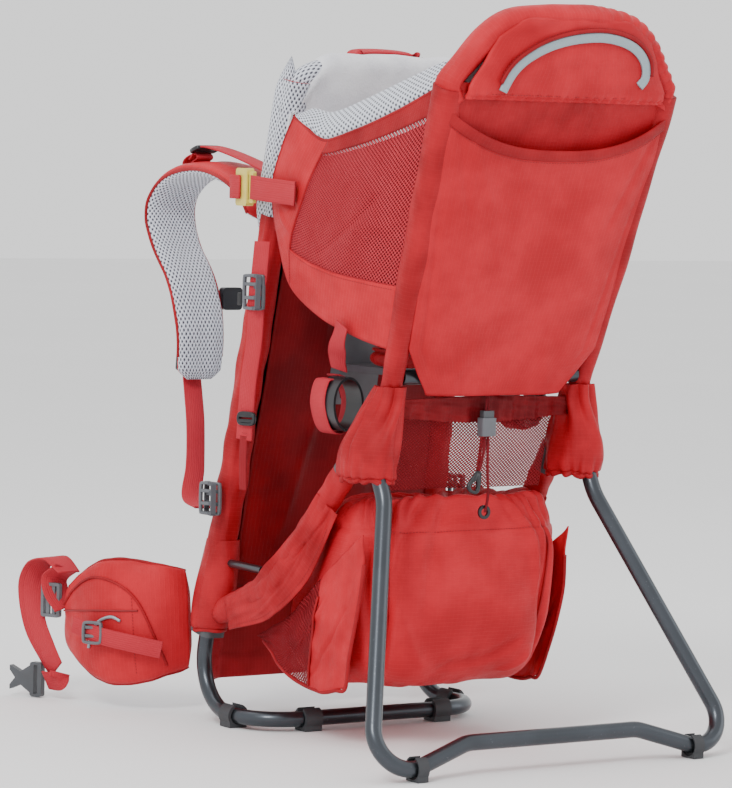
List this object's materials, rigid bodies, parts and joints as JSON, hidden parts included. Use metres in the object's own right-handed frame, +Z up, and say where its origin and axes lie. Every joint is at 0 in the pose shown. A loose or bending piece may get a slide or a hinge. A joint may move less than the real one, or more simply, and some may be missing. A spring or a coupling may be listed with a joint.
{
  "type": "baby carrier backpack",
  "caption": "Framed child carrier backpack with a folding kickstand, padded hip belt, sliding shoulder harness, child seat, rear stash pocket and base bag.",
  "frame": {"origin": "on the floor, under the middle of the carrier's box", "axes": "+Z up, +Y the way the wearer faces, +X to the wearer's right"},
  "size_m": [0.4624, 0.6992, 0.733],
  "materials": {
    "tube": "satin",
    "steel": "satin",
    "moulded": "matte",
    "foot": "matte",
    "shell_fabric": "matte",
    "spacer_mesh": "matte",
    "pocket_mesh": "matte",
    "lining": "matte",
    "webbing": "matte",
    "cord": "matte",
    "latch": "satin"
  },
  "bodies": {
    "carrier": {"back_board": "moulded", "back_cover": "shell_fabric", "back_frame_tube": "tube", "back_pads": "spacer_mesh", "back_rest_pad": "lining", "base_feet": "foot", "base_loop_tube": "tube", "cockpit_frame_tube": "tube", "cockpit_sides": "shell_fabric", "drawstring_cord": "cord", "drawstring_grommet": "moulded", "drawstring_pull": "moulded", "entry_latches": "latch", "entry_straps": "webbing", "frame_braces": "tube", "frame_joint_blocks": "moulded", "frame_sleeves": "shell_fabric", "front_rest_pad": "lining", "harness_rail": "moulded", "haul_loop": "webbing", "head_rest_cover": "shell_fabric", "head_rest_pad": "shell_fabric", "hinge_brackets": "moulded", "hinge_pins": "steel", "hinge_sleeves": "shell_fabric", "lumbar_pad": "spacer_mesh", "rear_mesh_panel": "pocket_mesh", "rim_pads": "spacer_mesh", "side_ladderlocks": "moulded", "side_pockets": "pocket_mesh", "side_webbing": "webbing", "stash_pocket": "shell_fabric", "stirrup_webbing": "webbing", "storage_bag": "shell_fabric"},
    "kickstand": {"kickstand_tube": "tube", "kickstand_hubs": "moulded", "kickstand_feet": "foot"},
    "harness": {"harness_yoke": "spacer_mesh", "shoulder_strap_left": "shell_fabric", "shoulder_strap_right": "shell_fabric", "load_lifters": "webbing", "strap_ladderlocks": "moulded", "sternum_buckle_socket": "moulded", "sternum_buckle_plug": "moulded"},
    "hip_left": {"hip_wing_left": "shell_fabric", "hip_ladderlock_left": "moulded", "hip_webbing_left": "webbing", "hip_buckle_plug": "moulded"},
    "hip_right": {"hip_wing_right": "shell_fabric", "hip_ladderlock_right": "moulded", "hip_webbing_right": "webbing", "hip_buckle_socket": "moulded"},
    "seat": {"seat_pad": "lining", "seat_carrier": "moulded"},
    "stirrup_left": {"stirrup_left": "webbing"},
    "stirrup_right": {"stirrup_right": "webbing"},
    "entry_left": {"entry_buckle_left": "latch"},
    "entry_right": {"entry_buckle_right": "latch"},
    "cord_lock": {"cord_lock_body": "moulded"},
    "cord_button": {"cord_lock_button": "moulded"}
  },
  "joints": [
    {"name": "kickstand_fold", "type": "hinge", "parent": "carrier", "child": "kickstand", "pos_m": [0, -0.198, 0.285], "axis": [1, 0, 0], "range_deg": [0, 45]},
    {"name": "harness_height", "type": "slide", "parent": "carrier", "child": "harness", "axis": [0, -0.1997, 0.9799], "range_m": [-0.03, 0.03]},
    {"name": "hip_wing_left_wrap", "type": "hinge", "parent": "carrier", "child": "hip_left", "pos_m": [-0.114, 0.146, 0.098], "axis": [0, 0, -1], "range_deg": [-15, 35]},
    {"name": "hip_wing_right_wrap", "type": "hinge", "parent": "carrier", "child": "hip_right", "pos_m": [0.114, 0.146, 0.098], "axis": [0, 0, 1], "range_deg": [-15, 35]},
    {"name": "seat_height", "type": "slide", "parent": "carrier", "child": "seat", "axis": [0, -0.1997, 0.9799], "range_m": [-0.03, 0.03]},
    {"name": "stirrup_left_swing", "type": "hinge", "parent": "carrier", "child": "stirrup_left", "pos_m": [-0.112, -0.112, 0.368], "axis": [1, 0, 0], "range_deg": [0, 30]},
    {"name": "stirrup_right_swing", "type": "hinge", "parent": "carrier", "child": "stirrup_right", "pos_m": [0.112, -0.112, 0.368], "axis": [1, 0, 0], "range_deg": [0, 30]},
    {"name": "entry_buckle_left_release", "type": "slide", "parent": "carrier", "child": "entry_left", "axis": [0.1191, 0.9929, 0], "range_m": [0, 0.02]},
    {"name": "entry_buckle_right_release", "type": "slide", "parent": "carrier", "child": "entry_right", "axis": [-0.1191, 0.9929, 0], "range_m": [0, 0.02]},
    {"name": "cord_lock_travel", "type": "slide", "parent": "carrier", "child": "cord_lock", "axis": [0, 0, 1], "range_m": [-0.01, 0]},
    {"name": "cord_button_press", "type": "slide", "parent": "cord_lock", "child": "cord_button", "axis": [0, 0, -1], "range_m": [0, 0.003], "stiffness_N_per_m": 400}
  ]
}
